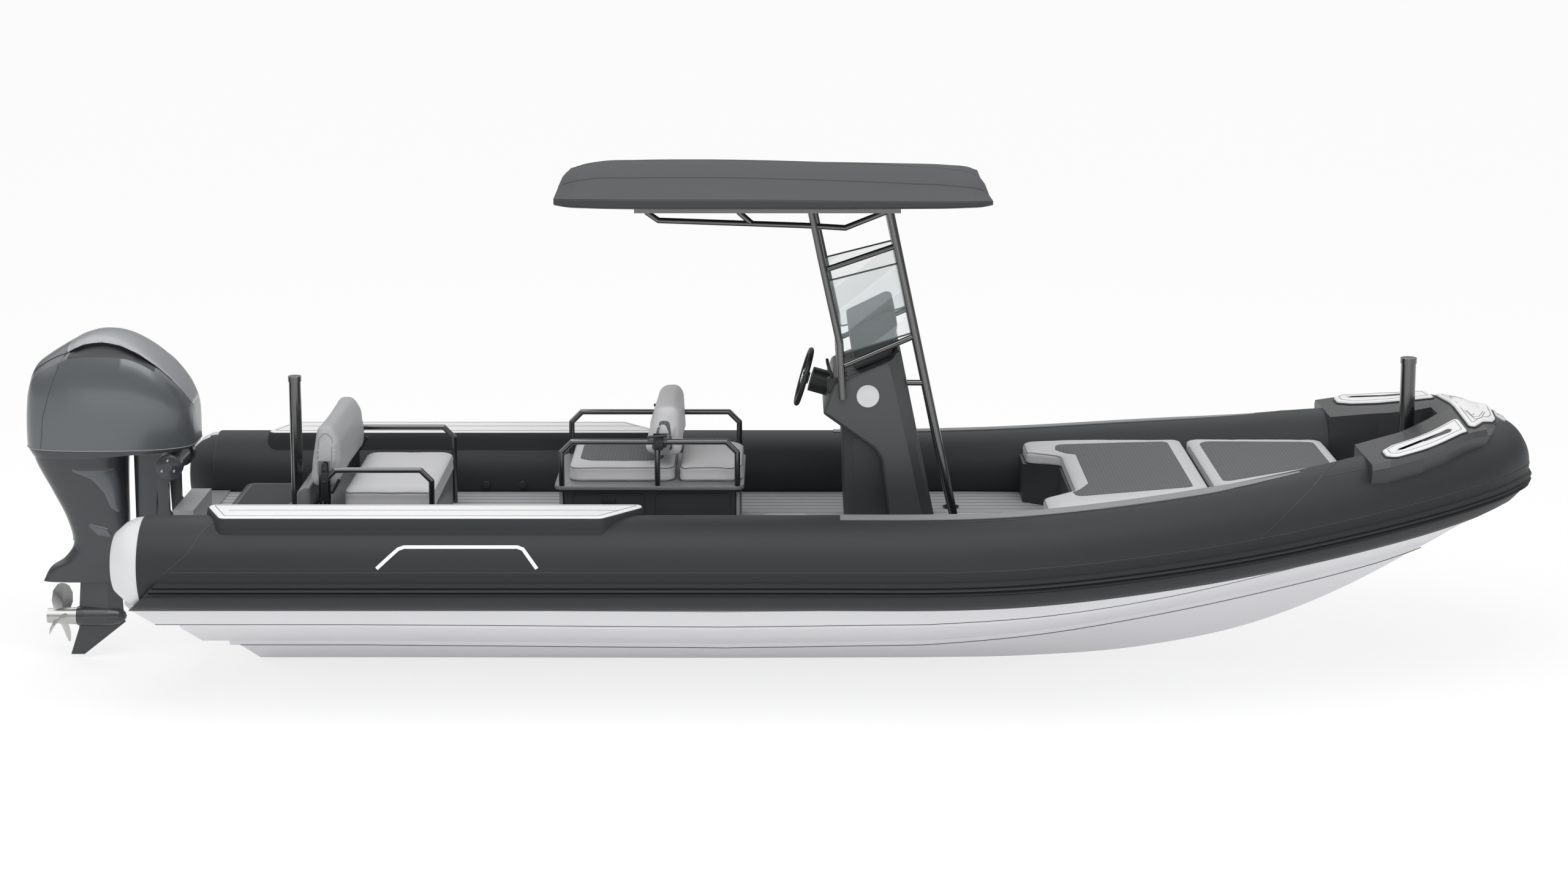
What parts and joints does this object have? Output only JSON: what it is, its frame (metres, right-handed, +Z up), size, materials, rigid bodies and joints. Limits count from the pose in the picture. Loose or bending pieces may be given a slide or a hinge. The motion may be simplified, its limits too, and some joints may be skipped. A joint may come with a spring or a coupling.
{
  "type": "rigid inflatable boat with hardtop and outboard",
  "caption": "Rigid inflatable boat with a V hull, fat side tubes, console, seats, hardtop on a tube frame and a tilting, steering outboard.",
  "frame": {"origin": "centre plane at the waterline, near the centre of buoyancy", "axes": "+X towards the bow, +Y to port, +Z up"},
  "size_m": [8.5545, 2.7364, 2.852],
  "materials": {
    "hull_gelcoat": "smooth pale gelcoat",
    "deck_plank": "grey foam planks with dark seams",
    "transom_gelcoat": "grey gelcoat",
    "collar_fabric": "satin coated fabric, charcoal",
    "strake_rubber": "satin black rubber",
    "pad_foam": "white grooved foam",
    "dark_gelcoat": "charcoal gelcoat",
    "seat_base": "grey gelcoat",
    "plate_gelcoat": "dark gelcoat",
    "upholstery": "pale grey coated upholstery",
    "black_tube": "gloss black powder coat",
    "white_disc": "white",
    "black_trim": "black",
    "roof_gelcoat": "charcoal gelcoat",
    "screen_glass": "clear with a pale tint",
    "engine_paint": "blue grey metallic paint",
    "cowl_paint": "blue grey metallic paint with a silver crown",
    "engine_iron": "plain",
    "blade_steel": "polished steel"
  },
  "bodies": {
    "hull": {"hull_bottom": "hull_gelcoat", "stern_cap_starboard": "hull_gelcoat", "stern_cap_port": "hull_gelcoat", "deck": "deck_plank", "transom": "transom_gelcoat", "tube_starboard": "collar_fabric", "tube_port": "collar_fabric", "tube_bow": "collar_fabric", "rub_strake_starboard": "strake_rubber", "rub_strake_port": "strake_rubber", "tube_pad_starboard": "pad_foam", "tube_pad_port": "pad_foam", "bow_pads": "pad_foam", "bow_moulding": "dark_gelcoat", "lounge_locker": "dark_gelcoat", "aft_platform": "dark_gelcoat", "console": "dark_gelcoat", "helm_base": "dark_gelcoat", "bench_base": "seat_base", "helm_plate": "plate_gelcoat", "bench_cushion": "upholstery", "helm_cushion_aft": "upholstery", "helm_cushion_front": "upholstery", "lounge_cushion_aft": "upholstery", "lounge_cushion_front": "upholstery", "bench_rails": "black_tube", "helm_rails": "black_tube", "frame_starboard": "black_tube", "frame_port": "black_tube", "roof_frame": "black_tube", "tow_post": "black_tube", "bow_post": "black_tube", "console_discs": "white_disc", "helm_pod": "black_trim", "hardtop": "roof_gelcoat", "windscreen": "screen_glass", "clamp_bracket": "engine_paint"},
    "swivel": {"swivel_bracket": "engine_paint"},
    "engine": {"midsection": "engine_paint", "gearcase": "engine_paint", "lower_cowl": "engine_paint", "top_cowl": "cowl_paint", "engine_block": "engine_iron"},
    "propeller": {"propeller": "blade_steel"},
    "steering_wheel": {"steering_wheel": "black_trim"},
    "helm_backrest": {"helm_backrest": "upholstery"},
    "bench_backrest": {"bench_backrest": "upholstery"}
  },
  "joints": [
    {"name": "outboard_tilt", "type": "hinge", "parent": "hull", "child": "swivel", "pos_m": [-3.15, 0, 0.69], "axis": [0, 1, 0], "range_deg": [-4, 66]},
    {"name": "outboard_steer", "type": "hinge", "parent": "swivel", "child": "engine", "pos_m": [-3.33, 0, 0.45], "axis": [0, 0, 1], "range_deg": [-30, 30]},
    {"name": "propeller_spin", "type": "hinge", "parent": "engine", "child": "propeller", "pos_m": [-3.83, 0, -0.232], "axis": [1, 0, 0], "continuous": true},
    {"name": "steering_wheel_turn", "type": "hinge", "parent": "hull", "child": "steering_wheel", "pos_m": [0.433, 0, 1.17], "axis": [0.9613, 0, -0.2756], "range_deg": [-720, 720]},
    {"name": "helm_backrest_fold", "type": "hinge", "parent": "hull", "child": "helm_backrest", "pos_m": [-0.345, 0, 0.862], "axis": [0, 1, 0], "range_deg": [0, 75]},
    {"name": "bench_backrest_fold", "type": "hinge", "parent": "hull", "child": "bench_backrest", "pos_m": [-2.215, 0, 0.692], "axis": [0, 1, 0], "range_deg": [0, 75]}
  ],
  "couplings": [
    {"joint": "steering_wheel_turn", "follows": "outboard_steer", "ratio": 24}
  ]
}
